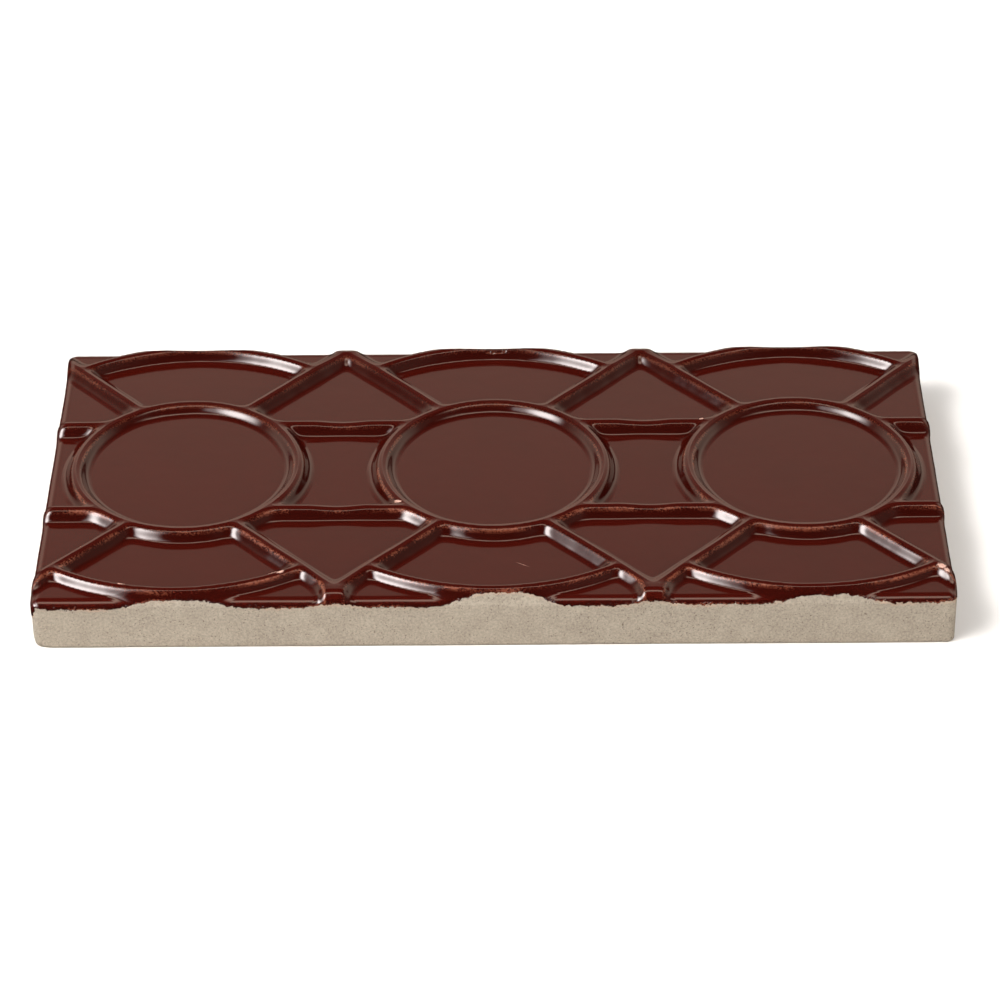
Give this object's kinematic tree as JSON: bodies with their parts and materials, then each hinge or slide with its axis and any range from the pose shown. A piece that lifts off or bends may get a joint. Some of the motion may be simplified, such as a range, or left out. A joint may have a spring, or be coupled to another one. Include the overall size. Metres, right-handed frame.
{
  "type": "ceramic accent tile",
  "caption": "Rectangular fired tile, brown gloss glaze over a raised line pattern of rings, rails, diagonals and arcs, for setting in a wall border or splashback.",
  "frame": {"origin": "centre of the flat underside, where the tile meets the wall or bench", "axes": "+X along the tile's length, +Y across its width, +Z out of the glazed face"},
  "size_m": [0.152, 0.076, 0.0111],
  "materials": {
    "glaze": "glossy chocolate brown glaze that breaks rust brown on the ridges; bare grey-beige clay on the sides and underside"
  },
  "bodies": {
    "root": {"tile": "glaze"}
  },
  "joints": []
}
